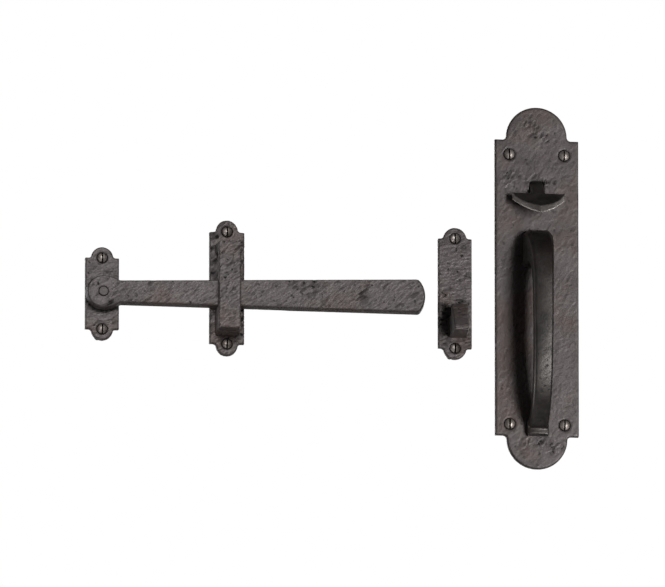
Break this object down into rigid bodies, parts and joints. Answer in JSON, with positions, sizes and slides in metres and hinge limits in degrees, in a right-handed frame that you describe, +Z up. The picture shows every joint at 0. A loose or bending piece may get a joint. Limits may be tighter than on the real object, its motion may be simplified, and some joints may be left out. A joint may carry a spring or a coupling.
{
  "type": "gate latch set",
  "caption": "Rustic black iron thumb latch for a gate: arched backplate with pull handle and thumb piece, pivoted latch bar, bar guide and hooked keep",
  "frame": {"origin": "middle of the handle plate's flat back, where it lies on the gate", "axes": "+Y from the latch's front into the gate, +Z up the plates, +X from the latch bar's pivot towards the handle plate"},
  "size_m": [0.3362, 0.1221, 0.25],
  "materials": {
    "cast_iron": "rustic textured casting, black waxed, satin",
    "black_screws": "black japanned steel, semi-gloss",
    "plain_steel": "blackened steel, satin"
  },
  "bodies": {
    "latch": {"pivot_plate": "cast_iron", "pivot_washer": "cast_iron", "bar_guide": "cast_iron", "keep_plate": "cast_iron", "handle_plate": "cast_iron", "pull_grip": "cast_iron", "pivot_rivet": "plain_steel", "grip_screw_upper": "plain_steel", "grip_screw_lower": "plain_steel", "lever_pin": "plain_steel", "small_plate_screws": "black_screws", "handle_plate_screws": "black_screws"},
    "bar": {"latch_bar": "cast_iron"},
    "lever": {"thumb_lever": "cast_iron"}
  },
  "joints": [
    {"name": "bar_pivot", "type": "hinge", "parent": "latch", "child": "bar", "pos_m": [-0.296, -0.0081, -0.013], "axis": [0, -1, 0], "range_deg": [0, 10.5]},
    {"name": "lever_pivot", "type": "hinge", "parent": "latch", "child": "lever", "pos_m": [0, 0.0056, 0.0697], "axis": [1, 0, 0], "range_deg": [0, 14]}
  ]
}
